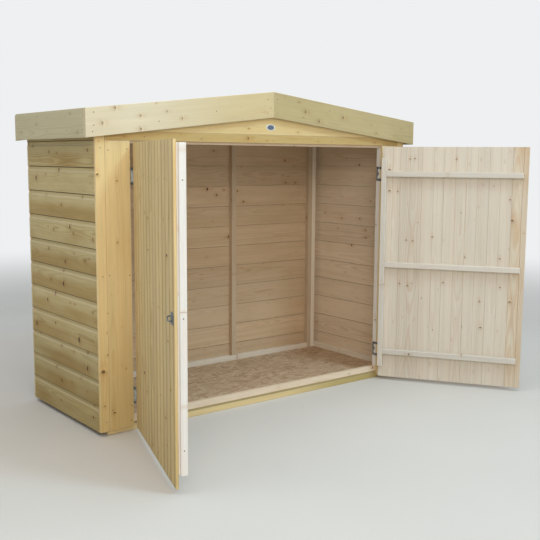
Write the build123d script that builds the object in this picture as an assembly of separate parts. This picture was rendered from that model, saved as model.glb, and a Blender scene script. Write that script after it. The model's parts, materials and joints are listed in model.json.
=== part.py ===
"""A low timber store with an apex roof and a pair of doors, in its own frame.

Millimetres. +X runs to the right along the front, +Y to the back and +Z up. The origin lies on
the underside of the middle floor bearer, at the centre of the walls' plan. The doors stand open
at the angles given below, where an angle of zero would be a closed door.
"""

import os
from math import cos, radians, tan

from build123d import *

# Walls
body_width = 1874.0
body_depth = 727.0
cladding_thickness = 12.0
cladding_cover = 115.8
starter_board_height = 118.7
scoop_height = 24.0
scoop_depth = 5.0
scoop_hollow = 1.2
lap_lip = 3.0
cladding_bottom = 19.0
framing = 28.0
stud_share = 0.306

# Floor
bearer_height = 28.0
bearer_width = 45.0
floor_thickness = 11.0

# Front
trim_thickness = 12.0
corner_strip_width = 45.0
pilaster_width = 120.7
header_reveal = 7.5
header_board_height = 40.0
head_rail_show = 12.5

# Roof
eaves_height = 1425.5
roof_pitch = 6.6
side_overhang = 53.0
front_overhang = 9.6
fascia_depth = 123.0
fascia_thickness = 16.0
rear_bargeboard_thickness = 12.0
rear_bargeboard_drop = 4.5
felt_set_down = 4.0
felt_thickness = 2.5
roof_board_thickness = 11.0
ridge_beam_depth = 44.0
ridge_felt_width = 300.0
rake_batten_depth = 44.0

# Doors
door_board_thickness = 11.0
door_board_cover = 117.0
first_door_joint = 99.0
groove_width = 9.0
groove_depth = 3.5
inner_joint_width = 1.6
inner_joint_depth = 1.2
door_proud = 4.5
door_side_gap = 6.0
door_middle_gap = 5.5
door_top_gap = 7.0
stile_end_margin = 61.0
ledge_inset = 146.0
middle_ledge_share = 0.497
ledge_end_margin = 22.0
meeting_batten_width = 44.0
meeting_batten_thickness = 32.0
meeting_batten_lap = 18.0
meeting_batten_setback = 5.5
left_door_angle = 108.5
right_door_angle = 123.1

# Flush hinges, one leaf of which closes into the other
hinge_length = 76.0
hinge_leaf_width = 45.0
hinge_leaf_thickness = 2.0
hinge_arm = 12.0
hinge_spine = 7.0
hinge_lug_radius = 9.0
knuckle_radius = 4.0
knuckle_stand_off = 0.5
pin_radius = 2.0
pin_clearance = 0.3
leaf_clearance = 0.8

# Hasp and staple
latch_plate_height = 44.0
latch_edge_margin = 10.0
latch_plate_width = 44.0
latch_plate_thickness = 2.0
staple_reach = 18.0
staple_eye_height = 14.0
staple_bar = 5.0
hasp_strap_length = 84.0
hasp_strap_height = 36.0
hasp_fold_gap = 1.0
hasp_slot_length = 28.0
hasp_slot_width = 9.0

# Worked out from the sizes above
front = -body_depth / 2
back = body_depth / 2
half_body = body_width / 2
half_roof = half_body + side_overhang
slope = tan(radians(roof_pitch))
plumb = 1 / cos(radians(roof_pitch))
apex_height = eaves_height + slope * half_roof
roof_front = front - front_overhang
fascia_inside = half_roof - fascia_thickness
felt_under = felt_set_down + felt_thickness * plumb
deck_under = felt_under + roof_board_thickness * plumb
rafter_under = deck_under + framing * plumb

cladding_inside = half_body - cladding_thickness
frame_inside = cladding_inside - framing
strip_inside = half_body - corner_strip_width
half_opening = strip_inside - pilaster_width
frame_front = front + trim_thickness
frame_front_inner = frame_front + framing
back_inside = back - cladding_thickness
back_frame_front = back_inside - framing
floor_top = bearer_height + floor_thickness
sill_top = floor_top + framing
header_bottom = eaves_height - fascia_depth - header_reveal
head_rail_bottom = header_bottom - head_rail_show

door_bottom = cladding_bottom
door_top = header_bottom - door_top_gap
door_height = door_top - door_bottom
door_edge = half_opening - door_side_gap
free_edge = door_middle_gap / 2
door_outer = front - door_proud
door_inner = door_outer + door_board_thickness
lower_ledge = door_bottom + ledge_inset
middle_ledge = door_bottom + middle_ledge_share * door_height
upper_ledge = door_top - ledge_inset
hinge_x = half_opening - door_side_gap / 2
hinge_y = door_outer - knuckle_radius - knuckle_stand_off
latch_face = door_outer - latch_plate_thickness

os.makedirs("parts", exist_ok=True)
written = []


def write(name, *solids):
    """One file for one node, whose solids don't touch each other."""
    shape = solids[0] if len(solids) == 1 else Compound(children=list(solids))
    shape.label = name
    export_step(shape, f"parts/{name}.step")
    written.append(name)


def box(x0, x1, y0, y1, z0, z1):
    """A block between two corners."""
    solid = Box(x1 - x0, y1 - y0, z1 - z0, align=(Align.MIN, Align.MIN, Align.MIN))
    return solid.moved(Location((x0, y0, z0)))


def mirrored(solid):
    """The solid's mirror image across the middle of the front."""
    return mirror(solid, about=Plane.YZ)


def both_sides(*solids):
    """Each solid and its mirror image."""
    return [*solids, *[mirrored(solid) for solid in solids]]


def write_pair(name, solid):
    """A right-hand node and its left-hand mirror image; name has a place for the side."""
    write(name.format("right"), solid)
    write(name.format("left"), mirrored(solid))


def along_y(points, y0, y1):
    """A closed outline in X and Z, drawn out from y0 to y1."""
    outline = Polyline(*[(x, y0, z) for x, z in points], close=True)
    return extrude(make_face(outline), amount=y1 - y0, dir=(0, 1, 0))


def upward(points, z0, z1):
    """A closed outline in X and Y, drawn up from z0 to z1."""
    outline = Polyline(*[(x, y, z0) for x, y in points], close=True)
    return extrude(make_face(outline), amount=z1 - z0, dir=(0, 0, 1))


def roof_line(x, drop):
    """Height of the line that lies a plumb distance below the top of the bargeboards."""
    return apex_height - slope * abs(x) - drop


def rake(x0, x1, y0, y1, top_drop, bottom_drop):
    """A board on the right slope of the roof, cut plumb at both ends."""
    points = [
        (x0, roof_line(x0, bottom_drop)),
        (x1, roof_line(x1, bottom_drop)),
        (x1, roof_line(x1, top_drop)),
        (x0, roof_line(x0, top_drop)),
    ]
    return along_y(points, y0, y1)


def gabled(half_width, bottom, drop, y0, y1):
    """A piece that stands on a level line and follows both slopes at its top."""
    points = [
        (-half_width, bottom),
        (half_width, bottom),
        (half_width, roof_line(half_width, drop)),
        (0, roof_line(0, drop)),
        (-half_width, roof_line(half_width, drop)),
    ]
    return along_y(points, y0, y1)


def post(x0, x1, y0, y1, bottom, drop):
    """An upright whose top is cut to the right slope."""
    points = [(x0, bottom), (x1, bottom), (x1, roof_line(x1, drop)), (x0, roof_line(x0, drop))]
    return along_y(points, y0, y1)


def joint_heights(top):
    """Heights of the cladding's joints, from the lowest up."""
    heights = []
    height = cladding_bottom + starter_board_height
    while height < top - scoop_height:
        heights.append(height)
        height += cladding_cover
    return heights


def shiplap_outline(outer_top, inner_top):
    """Cladding in section: depth out from its inner face, and height.

    Each board is flat up to its scoop, a hollow that runs in under the lip of the next board.
    """
    flat = cladding_thickness
    edges = []
    here = (flat, cladding_bottom)
    for height in joint_heights(outer_top):
        scoop_start = (flat, height - scoop_height)
        scoop_end = (flat - scoop_depth, height - lap_lip)
        scoop_middle = (
            flat - scoop_depth / 2 - scoop_hollow,
            height - (scoop_height + lap_lip) / 2,
        )
        under_lip = (flat - scoop_depth, height)
        lip = (flat, height)
        edges.append(Line(here, scoop_start))
        edges.append(ThreePointArc(scoop_start, scoop_middle, scoop_end))
        edges.append(Line(scoop_end, under_lip))
        edges.append(Line(under_lip, lip))
        here = lip
    edges.append(Line(here, (flat, outer_top)))
    edges.append(Line((flat, outer_top), (0, inner_top)))
    edges.append(Line((0, inner_top), (0, cladding_bottom)))
    edges.append(Line((0, cladding_bottom), (flat, cladding_bottom)))
    return make_face(edges)


def floor():
    half_bearer = bearer_width / 2
    bearers = [
        box(-frame_inside, frame_inside, y - half_bearer, y + half_bearer, 0, bearer_height)
        for y in (frame_front + half_bearer, 0, back_inside - half_bearer)
    ]
    write("floor_bearers", *bearers)
    deck = box(
        -cladding_inside, cladding_inside, frame_front, back_inside, bearer_height, floor_top
    )
    write("floor_deck", deck)


def side_walls():
    outline = shiplap_outline(
        roof_line(half_body, deck_under), roof_line(cladding_inside, deck_under)
    )
    section = Plane(origin=(cladding_inside, frame_front, 0), x_dir=(1, 0, 0), z_dir=(0, -1, 0))
    write_pair("{}_wall_boards", extrude(section * outline, amount=frame_front - back_inside))
    foot = box(frame_inside, cladding_inside, frame_front_inner, back_inside, floor_top, sill_top)
    plate = rake(
        frame_inside, cladding_inside, frame_front_inner, back_inside, deck_under, rafter_under
    )
    write("side_wall_rails", *both_sides(foot, plate))


def back_wall():
    ridge = roof_line(0, deck_under)
    section = Plane(origin=(-half_body, back_inside, 0), x_dir=(0, 1, 0), z_dir=(1, 0, 0))
    boards = extrude(section * shiplap_outline(ridge, ridge), amount=body_width)
    boards &= gabled(half_body, cladding_bottom, deck_under, back_inside, back)
    write("back_wall_boards", boards)

    corner_x = frame_inside - framing
    end_x = corner_x - framing
    corner = post(corner_x, frame_inside, back_frame_front, back_inside, floor_top, rafter_under)
    write("back_corner_posts", *both_sides(corner))
    rail_top = roof_line(end_x, rafter_under)
    stud_x = stud_share * frame_inside
    end = post(end_x, corner_x, back_frame_front, back_inside, floor_top, rafter_under)
    stud = box(
        stud_x - framing / 2,
        stud_x + framing / 2,
        back_frame_front,
        back_inside,
        sill_top,
        rail_top - framing,
    )
    write("back_wall_posts", *both_sides(end, stud))
    rails = [
        box(-end_x, end_x, back_frame_front, back_inside, top - framing, top)
        for top in (sill_top, rail_top)
    ]
    write("back_wall_rails", *rails)


def front_frame():
    jamb_outside = half_opening + framing
    jamb = post(
        half_opening, jamb_outside, frame_front, frame_front_inner, floor_top, rafter_under
    )
    corner = post(
        frame_inside, cladding_inside, frame_front, frame_front_inner, floor_top, rafter_under
    )
    write("front_posts", *both_sides(jamb, corner))

    def rails(x0, x1):
        return [
            box(x0, x1, frame_front, frame_front_inner, bottom, bottom + framing)
            for bottom in (floor_top, head_rail_bottom)
        ]

    sill, head = rails(-half_opening, half_opening)
    write("sill_rail", sill)
    write("head_rail", head)
    write("front_short_rails", *both_sides(*rails(jamb_outside, frame_inside)))


def front_trim():
    pilaster = box(half_opening, strip_inside, front, frame_front, cladding_bottom, header_bottom)
    write("pilasters", *both_sides(pilaster))
    strip = post(strip_inside, half_body, front, frame_front, cladding_bottom, deck_under)
    write("front_corner_strips", *both_sides(strip))
    joint = header_bottom + header_board_height
    header = box(-strip_inside, strip_inside, front, frame_front, header_bottom, joint)
    write("header_board", header)
    write("gable_board", gabled(strip_inside, joint, deck_under, front, frame_front))


def roof_frame():
    half_beam = framing / 2
    beam_bottom = roof_line(0, deck_under) - ridge_beam_depth
    write("ridge_beam", gabled(half_beam, beam_bottom, deck_under, frame_front, back_inside))
    front_rafter = rake(
        half_beam, cladding_inside, frame_front, frame_front_inner, deck_under, rafter_under
    )
    rear_rafter = rake(
        half_beam, frame_inside, back_frame_front, back_inside, deck_under, rafter_under
    )
    write("gable_rafters", *both_sides(front_rafter, rear_rafter))
    purlin_x = frame_inside / 2
    purlin = rake(
        purlin_x - half_beam,
        purlin_x + half_beam,
        frame_front_inner,
        back_frame_front,
        deck_under,
        rafter_under,
    )
    write("roof_purlins", *both_sides(purlin))


def roof_edges():
    eaves = rake(fascia_inside - framing, fascia_inside, front, back, deck_under, rafter_under)
    write("eaves_battens", *both_sides(eaves))
    batten_under = deck_under + rake_batten_depth
    batten = rake(framing / 2, fascia_inside, roof_front, front, deck_under, batten_under)
    write("rake_battens", *both_sides(batten))

    face = roof_front - fascia_thickness
    barge = rake(0, half_roof, face, roof_front, 0, fascia_depth)
    write_pair("front_{}_bargeboard", barge)
    rear_face = back + rear_bargeboard_thickness
    rear_bottom = rear_bargeboard_drop + fascia_depth
    rear = rake(0, half_roof, back, rear_face, rear_bargeboard_drop, rear_bottom)
    write_pair("rear_{}_bargeboard", rear)
    fascia = box(
        fascia_inside, half_roof, roof_front, back, eaves_height - fascia_depth, eaves_height
    )
    write_pair("{}_fascia", fascia)


def roof_covering():
    deck = rake(0, fascia_inside, roof_front, back, felt_under, deck_under)
    write_pair("{}_roof_deck", deck)
    felt = rake(0, fascia_inside, roof_front, back, felt_set_down, felt_under)
    write_pair("{}_roof_felt", felt)
    reach = ridge_felt_width / 2
    cap_top = felt_set_down - felt_thickness * plumb
    cap = gabled(reach, roof_line(reach, felt_set_down), cap_top, roof_front, back)
    cap -= gabled(half_roof, 0, felt_set_down, roof_front, back)
    write("ridge_felt", cap)


def swing_right(solid):
    """Turns a piece of the closed right door to the angle at which it stands."""
    return solid.rotate(Axis((hinge_x, hinge_y, 0), (0, 0, 1)), right_door_angle)


def swing_left(solid):
    """Makes the left door's piece from the closed right one, and turns it to its angle."""
    return mirrored(solid).rotate(Axis((-hinge_x, hinge_y, 0), (0, 0, 1)), -left_door_angle)


def door_boards():
    """The boards of the closed right door, with a V outside and a hair line inside each joint."""
    panel = box(free_edge, door_edge, door_outer, door_inner, door_bottom, door_top)
    half_groove = groove_width / 2
    half_line = inner_joint_width / 2
    joint = door_edge - first_door_joint
    while joint > free_edge + groove_width:
        groove = [
            (joint - half_groove, door_outer),
            (joint, door_outer + groove_depth),
            (joint + half_groove, door_outer),
        ]
        line = [
            (joint - half_line, door_inner),
            (joint - half_line, door_inner - inner_joint_depth),
            (joint + half_line, door_inner - inner_joint_depth),
            (joint + half_line, door_inner),
        ]
        panel -= upward(groove, door_bottom, door_top)
        panel -= upward(line, door_bottom, door_top)
        joint -= door_board_cover
    return panel


def door_ledges(free_end):
    """Three cross battens of the closed right door, from its stile to the given end."""
    half = framing / 2
    return [
        box(free_end, door_edge - framing, door_inner, door_inner + framing, z - half, z + half)
        for z in (lower_ledge, middle_ledge, upper_ledge)
    ]


def doors():
    boards = door_boards()
    stile = box(
        door_edge - framing,
        door_edge,
        door_inner,
        door_inner + framing,
        door_bottom + stile_end_margin,
        door_top - stile_end_margin,
    )
    write("right_door_boards", swing_right(boards))
    write("right_door_stile", swing_right(stile))
    ledges = door_ledges(free_edge + ledge_end_margin)
    write("right_door_ledges", *[swing_right(ledge) for ledge in ledges])

    lap_end = free_edge - meeting_batten_lap
    batten_inside = lap_end + meeting_batten_width
    batten_face = door_inner + meeting_batten_setback
    batten_back = door_inner + meeting_batten_thickness
    batten_outline = [
        (batten_inside, door_inner),
        (free_edge, door_inner),
        (free_edge, batten_face),
        (lap_end, batten_face),
        (lap_end, batten_back),
        (batten_inside, batten_back),
    ]
    batten = upward(batten_outline, sill_top + door_side_gap, head_rail_bottom - door_side_gap)
    write("left_door_boards", swing_left(boards))
    write("left_door_stile", swing_left(stile))
    ledges = door_ledges(batten_inside)
    write("left_door_ledges", *[swing_left(ledge) for ledge in ledges])
    write("left_door_meeting_batten", swing_left(batten))


def on_pin(radius, z0, z1):
    """A cylinder on the right door's hinge line."""
    solid = Cylinder(radius, z1 - z0, align=(Align.CENTER, Align.CENTER, Align.MIN))
    return solid.moved(Location((hinge_x, hinge_y, z0)))


def hinge(middle):
    """A closed flush hinge on the right: the jamb's leaf with its pin, then the door's leaf.

    The jamb's leaf is a frame with arms, a spine and a lug, and the door's closes inside it.
    """
    low = middle - hinge_length / 2
    high = middle + hinge_length / 2
    inner_low = low + hinge_arm
    inner_high = high - hinge_arm
    leaf_back = hinge_y + hinge_leaf_width
    spine_front = leaf_back - hinge_spine
    jamb_face = half_opening - hinge_leaf_thickness
    jamb_leaf = box(jamb_face, half_opening, hinge_y, leaf_back, low, high)
    window = box(jamb_face, half_opening, hinge_y, spine_front, inner_low, inner_high)
    lug = Cylinder(hinge_lug_radius, hinge_leaf_thickness, rotation=(0, 90, 0))
    lug = lug.moved(Location((half_opening - hinge_leaf_thickness / 2, spine_front, middle)))
    lug &= box(jamb_face, half_opening, hinge_y, leaf_back, low, high)
    jamb_leaf = jamb_leaf - window + lug
    jamb_leaf += on_pin(knuckle_radius, low, inner_low) + on_pin(knuckle_radius, inner_high, high)
    jamb_leaf += on_pin(pin_radius, low, high)

    leaf_low = inner_low + leaf_clearance
    leaf_high = inner_high - leaf_clearance
    door_face = door_edge + hinge_leaf_thickness
    reach = spine_front - hinge_lug_radius - leaf_clearance
    door_leaf = box(door_edge, door_face, hinge_y, reach, leaf_low, leaf_high)
    door_leaf += on_pin(knuckle_radius, leaf_low, leaf_high)
    door_leaf -= on_pin(pin_radius + pin_clearance, leaf_low, leaf_high)
    return jamb_leaf, door_leaf


def hinges():
    pairs = [hinge(height) for height in (lower_ledge, upper_ledge)]
    write("jamb_hinges", *both_sides(*[jamb_leaf for jamb_leaf, _ in pairs]))
    write("right_door_hinges", *[swing_right(door_leaf) for _, door_leaf in pairs])
    write("left_door_hinges", *[swing_left(door_leaf) for _, door_leaf in pairs])


def latch():
    """The staple of the left door, and the hasp of the right one, folded back on its plate."""
    low = middle_ledge - latch_plate_height / 2
    high = middle_ledge + latch_plate_height / 2
    start = free_edge + latch_edge_margin
    plate = box(start, start + latch_plate_width, latch_face, door_outer, low, high)

    loop_x = start + latch_plate_width / 2
    half_bar = staple_bar / 2
    half_eye = staple_eye_height / 2
    tip = latch_face - staple_reach
    outer_low = middle_ledge - half_eye - staple_bar
    outer_high = middle_ledge + half_eye + staple_bar
    loop = box(loop_x - half_bar, loop_x + half_bar, tip, latch_face, outer_low, outer_high)
    loop = fillet(loop.edges().filter_by(Axis.X).group_by(Axis.Y)[0], half_eye)
    loop -= box(
        loop_x - half_bar,
        loop_x + half_bar,
        tip + staple_bar,
        latch_face,
        middle_ledge - half_eye,
        middle_ledge + half_eye,
    )
    write("left_door_staple", swing_left(plate + loop))

    strap_back = latch_face - hasp_fold_gap
    strap_front = strap_back - latch_plate_thickness
    half_strap = hasp_strap_height / 2
    strap_end = start + hasp_strap_length
    slot_end = strap_end - latch_edge_margin
    strap = box(
        start, strap_end, strap_front, strap_back, middle_ledge - half_strap, middle_ledge + half_strap
    )
    strap -= box(
        slot_end - hasp_slot_width,
        slot_end,
        strap_front,
        strap_back,
        middle_ledge - hasp_slot_length / 2,
        middle_ledge + hasp_slot_length / 2,
    )
    barrel_radius = (door_outer - strap_front) / 2
    barrel = Cylinder(barrel_radius, hasp_strap_height)
    barrel = barrel.moved(Location((start, door_outer - barrel_radius, middle_ledge)))
    write("right_door_hasp", swing_right(plate + strap + barrel))


floor()
side_walls()
back_wall()
front_frame()
front_trim()
roof_frame()
roof_edges()
roof_covering()
doors()
hinges()
latch()
print(len(written), "nodes, apex at", round(apex_height, 1), "mm")
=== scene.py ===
# %% [markdown]
# # A low timber store with an apex roof
# The store is about two metres wide and stands on three bearers. Its walls are shiplap boards on a
# light frame, its roof is felted behind deep bargeboards, and a pair of boarded doors stands open.
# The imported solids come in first, and every piece below is set on them or takes their place.

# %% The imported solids
import json
import random
from math import copysign, cos, pi, radians, sin

import bmesh
import bpy
from mathutils import Matrix, Vector


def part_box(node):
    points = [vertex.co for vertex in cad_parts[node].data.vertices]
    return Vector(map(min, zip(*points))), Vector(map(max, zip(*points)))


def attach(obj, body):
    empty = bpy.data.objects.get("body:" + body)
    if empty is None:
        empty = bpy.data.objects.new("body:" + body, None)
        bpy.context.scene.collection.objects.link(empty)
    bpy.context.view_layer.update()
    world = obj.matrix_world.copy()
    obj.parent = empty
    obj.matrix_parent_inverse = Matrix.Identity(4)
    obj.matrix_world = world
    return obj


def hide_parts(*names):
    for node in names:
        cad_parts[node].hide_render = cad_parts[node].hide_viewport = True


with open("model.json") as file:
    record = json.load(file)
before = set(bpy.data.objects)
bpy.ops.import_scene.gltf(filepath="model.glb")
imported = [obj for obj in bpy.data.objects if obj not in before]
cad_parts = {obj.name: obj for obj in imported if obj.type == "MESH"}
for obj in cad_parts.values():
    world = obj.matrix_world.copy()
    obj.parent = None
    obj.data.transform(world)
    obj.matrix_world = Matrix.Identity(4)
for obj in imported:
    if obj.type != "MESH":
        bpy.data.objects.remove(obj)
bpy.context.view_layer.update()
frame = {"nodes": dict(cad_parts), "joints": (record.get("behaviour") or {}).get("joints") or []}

# %% [markdown]
# ## Camera
# The picture was taken from the front left, a little above the doors' middle, with a slight tilt.
# The camera's place, its turning and its lens were fitted to the store's corners, so they are
# written as numbers. A camera looks along its own -Z, which is why the third column is backwards.

# %% The camera
eye = Vector((-2.5537, -3.6224, 1.2243))
yaw, pitch, roll = radians(38.102), radians(7.603), radians(0.368)
forward = Vector((sin(yaw) * cos(pitch), cos(yaw) * cos(pitch), -sin(pitch)))
level = Vector((cos(yaw), -sin(yaw), 0))
upright = level.cross(forward)
right = level * cos(roll) + upright * sin(roll)
up = upright * cos(roll) - level * sin(roll)
lens = bpy.data.cameras.new("camera")
lens.lens = 55.97
camera = bpy.data.objects.new("camera", lens)
camera.matrix_world = Matrix.Translation(eye) @ Matrix((right, up, -forward)).transposed().to_4x4()
bpy.context.scene.collection.objects.link(camera)
bpy.context.scene.camera = camera
bpy.context.scene.view_settings.view_transform = "Standard"
print("camera at", tuple(round(value, 3) for value in eye), "lens", lens.lens)

# %% [markdown]
# ## Sums with sockets
# A wood finish is mostly arithmetic on positions, and a node for each sum is hard to read. A small
# class wraps a node's output and overloads the operators, so that `1 - mask` adds the Math node.
# Everything else goes through one method that takes a node's type, its settings and its inputs.


# %% Fields
def operator(operation, swapped=False):
    """The method behind an operator; swapped is for `1 - mask`, with the field on the right."""
    if swapped:
        return lambda field, other: field.finish.sum(operation, other, field)
    return lambda field, other: field.finish.sum(operation, field, other)


class Field:
    """A value that changes over a surface; sums with it add Math nodes."""

    def __init__(self, finish, socket):
        self.finish = finish
        self.socket = socket

    __add__, __radd__ = operator("ADD"), operator("ADD", True)
    __sub__, __rsub__ = operator("SUBTRACT"), operator("SUBTRACT", True)
    __mul__, __rmul__ = operator("MULTIPLY"), operator("MULTIPLY", True)
    __truediv__, __rtruediv__ = operator("DIVIDE"), operator("DIVIDE", True)
    __lt__, __gt__ = operator("LESS_THAN"), operator("GREATER_THAN")

    def beside(self, output):
        """Another output of the same node."""
        return Field(self.finish, self.socket.node.outputs[output])


# %% [markdown]
# A finish is one material, and its methods are the words that every recipe below is written in:
# noise for cloudy values, ease for a soft step, mix and tinted for colours, shader for the end.


# %% Finishes
class Finish:
    """One material, and the short words that its recipes are written in."""

    def __init__(self, name, owner=None):
        self.material = owner or bpy.data.materials.new(name)
        self.material.use_nodes = True
        self.tree = self.material.node_tree
        self.tree.nodes.clear()

    def node(self, kind, settings, inputs, output=0):
        """Adds a node: its settings first, then values or links for its sockets."""
        made = self.tree.nodes.new(kind)
        for setting, value in settings.items():
            setattr(made, setting, value)
        for socket, value in inputs.items():
            if isinstance(value, Field):
                self.tree.links.new(value.socket, made.inputs[socket])
            else:
                made.inputs[socket].default_value = value
        return Field(self, made.outputs[output]) if made.outputs else None

    def sum(self, operation, *values):
        return self.node("ShaderNodeMath", {"operation": operation}, dict(enumerate(values)))

    def vector(self, operation, *values, output=0):
        inputs = dict(enumerate(values))
        return self.node("ShaderNodeVectorMath", {"operation": operation}, inputs, output)

    def length(self, vector):
        return self.vector("LENGTH", vector, output="Value")

    def parts(self, vector):
        """The three numbers of a vector."""
        split = self.node("ShaderNodeSeparateXYZ", {}, {"Vector": vector})
        return [split.beside(axis) for axis in "XYZ"]

    def joined(self, x, y, z):
        return self.node("ShaderNodeCombineXYZ", {}, {"X": x, "Y": y, "Z": z})

    def carried(self, name, output="Vector"):
        """What the mesh carries under a name, such as a board's own grain direction."""
        return self.node("ShaderNodeAttribute", {"attribute_name": name}, {}, output)

    def place(self):
        """Where a point of the piece is, in metres."""
        return self.node("ShaderNodeTexCoord", {}, {}, "Object")

    def ease(self, value, low, high):
        """Goes smoothly from 0 below low to 1 above high."""
        ramp = {"interpolation_type": "SMOOTHSTEP"}
        ends = {"Value": value, "From Min": low, "From Max": high}
        return self.node("ShaderNodeMapRange", ramp, ends)

    def noise(self, where, stretch, detail=2.0, roughness=0.5):
        """Soft random values from 0 to 1; stretch is how many lumps there are in a metre."""
        scaled = self.vector("MULTIPLY", where, stretch)
        values = {"Vector": scaled, "Scale": 1.0, "Detail": detail, "Roughness": roughness}
        return self.node("ShaderNodeTexNoise", {}, values)

    def cells(self, where, output, **settings):
        """Random cells about one unit wide; each has a colour, a centre and an edge."""
        settings = {"voronoi_dimensions": "2D", **settings}
        return self.node("ShaderNodeTexVoronoi", settings, {"Vector": where, "Scale": 1.0}, output)

    def mix(self, share, first, second, way="MIX"):
        """Blends two colours."""
        settings = {"data_type": "RGBA", "blend_type": way}
        return self.node("ShaderNodeMix", settings, {0: share, 6: first, 7: second}, 2)

    def tinted(self, share, first, second):
        """Multiplies the first colour by the second, by a share."""
        return self.mix(share, first, second, "MULTIPLY")

    def lit(self, colour, value):
        """Multiplies a colour by a number, to make it lighter or darker."""
        return self.tinted(1.0, colour, self.joined(value, value, value))

    def nearer(self, share, first, second):
        """Picks between two vectors."""
        vectors = {0: share, 4: first, 5: second}
        return self.node("ShaderNodeMix", {"data_type": "VECTOR"}, vectors, 1)

    def shader(self, colour, roughness, height, metallic=0.0, specular=0.5):
        """One shader, with a bump from a height in metres."""
        bump = self.node("ShaderNodeBump", {}, {"Strength": 1.0, "Distance": 1.0, "Height": height})
        sockets = {
            "Base Color": colour,
            "Roughness": roughness,
            "Metallic": metallic,
            "Specular IOR Level": specular,
            "Normal": bump,
        }
        return self.node("ShaderNodeBsdfPrincipled", {}, sockets)

    def ended(self, surface):
        """Ends the recipe with the shader that shows."""
        self.node("ShaderNodeOutputMaterial", {}, {"Surface": surface})
        return self.material


def shade(red, green, blue):
    """A colour as a paint chart gives it, from 0 to 255, in the shader's linear numbers."""
    linear = [((part / 255 + 0.055) / 1.055) ** 2.4 for part in (red, green, blue)]
    return (*linear, 1.0)


print("a middle grey is", round(shade(128, 128, 128)[0], 3), "in linear light")

# %% [markdown]
# ## Floor, light and backdrop
# The floor is a pale disc that keeps the store's shadow. Far out it passes into the same pale tone
# as the backdrop, so that no horizon line crosses the picture behind the store.

# %% Floor
backdrop_tone = (0.86, 0.87, 0.88, 1)
pale_floor = Finish("pale_floor")
spread = pale_floor.node("ShaderNodeNewGeometry", {}, {}, "Position")
patches = pale_floor.noise(spread, (1.5, 1.5, 1.5), 3.0)
grit = pale_floor.noise(spread, (160.0, 160.0, 160.0))
floor_colour = pale_floor.mix(patches * 0.6 + grit * 0.4, (0.6, 0.565, 0.5, 1), (0.68, 0.645, 0.58, 1))
near_floor = pale_floor.shader(floor_colour, 0.9 - grit * 0.1, grit * 0.0004)
far_floor = pale_floor.node("ShaderNodeEmission", {}, {"Color": backdrop_tone, "Strength": 1.0})
far = pale_floor.ease(pale_floor.length(spread), 2.5, 7.5)
pale_floor.ended(pale_floor.node("ShaderNodeMixShader", {}, {0: far, 1: near_floor, 2: far_floor}))

ground = bmesh.new()
bmesh.ops.create_circle(ground, cap_ends=True, segments=96, radius=60.0)
ground_mesh = bpy.data.meshes.new("pale_floor")
ground.to_mesh(ground_mesh)
ground_mesh.materials.append(pale_floor.material)
floor = bpy.data.objects.new("pale_floor", ground_mesh)
floor.location.z = -0.0006
bpy.context.scene.collection.objects.link(floor)
print("floor laid")

# %% [markdown]
# The real store stood under a bright cloudy sky, with less light on its left side. A cool lamp high
# at the front right makes the lit patch beside the left door. A broad one at the front left, behind
# the viewer, lights the front. A wide one overhead and a weak one over the left wall bring out the
# hollows of the shiplap.


# %% Lamps and sky
def lamp(name, place, aim, width, height, watts, colour):
    """A soft rectangular lamp that points at a spot."""
    data = bpy.data.lights.new(name, "AREA")
    data.shape = "RECTANGLE"
    data.size = width
    data.size_y = height
    data.energy = watts
    data.color = colour
    made = bpy.data.objects.new(name, data)
    made.location = place
    direction = Vector(aim) - Vector(place)
    made.rotation_euler = direction.to_track_quat("-Z", "Y").to_euler()
    bpy.context.scene.collection.objects.link(made)


lamp("key_lamp", (1.2, -4.2, 5.7), (-0.2, -0.3, 0.9), 1.3, 1.3, 135, (0.52, 0.79, 1.0))
lamp("front_lamp", (-3.0, -5.3, 3.0), (-0.1, 0.0, 0.6), 3.4, 2.2, 118, (1.0, 0.965, 0.92))
lamp("overhead_lamp", (0.0, -1.2, 5.6), (0.0, -0.4, 0.0), 6.0, 5.0, 125, (0.98, 0.985, 1.0))
lamp("left_lamp", (-3.2, -0.4, 5.0), (-0.9, 0.0, 0.7), 2.0, 2.0, 30, (0.95, 0.98, 1.0))

sky = Finish("pale_sky", bpy.data.worlds.new("pale_sky"))
bpy.context.scene.world = sky.material
seen = rays = sky.node("ShaderNodeLightPath", {}, {}, "Is Camera Ray")
for kind in ("Is Glossy Ray", "Is Transmission Ray"):
    seen = sky.sum("MAXIMUM", seen, rays.beside(kind))
sky_colour = sky.mix(seen, (0.36, 0.39, 0.44, 1), backdrop_tone)
backdrop = sky.node("ShaderNodeBackground", {}, {"Color": sky_colour, "Strength": 1.0})
sky.node("ShaderNodeOutputWorld", {}, {"Surface": backdrop})
print(len(bpy.data.lights), "lamps")

# %% [markdown]
# ## Soft corners
# No real edge is perfectly sharp, and a narrow rounding catches a line of light. Timber and iron both get
# one by a bevel, on outer edges only. Every finished mesh is then put on its body in one place, where its
# shading and the solids that it replaces are set too.


# %% Meshes on their bodies
def run_of(edge):
    """The direction of an edge."""
    return (edge.verts[1].co - edge.verts[0].co).normalized()


def centre_of(solid):
    """The middle of a solid's corners."""
    return sum((vertex.co for vertex in solid.verts), Vector()) / len(solid.verts)


def rounded(solid, reach, angle, along=None):
    """Rounds the outer edges of a solid, or only those that run along it, and gives the new faces."""
    sharp = [edge for edge in solid.edges if edge.is_manifold and edge.is_convex]
    sharp = [edge for edge in sharp if edge.calc_face_angle(0) > radians(angle)]
    if along is not None:
        sharp = [edge for edge in sharp if abs(run_of(edge).dot(along)) > 0.9]
    settings = {"segments": 2, "profile": 0.5, "affect": "EDGES", "clamp_overlap": True}
    return set(bmesh.ops.bevel(solid, geom=sharp, offset=reach, **settings)["faces"])


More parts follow.
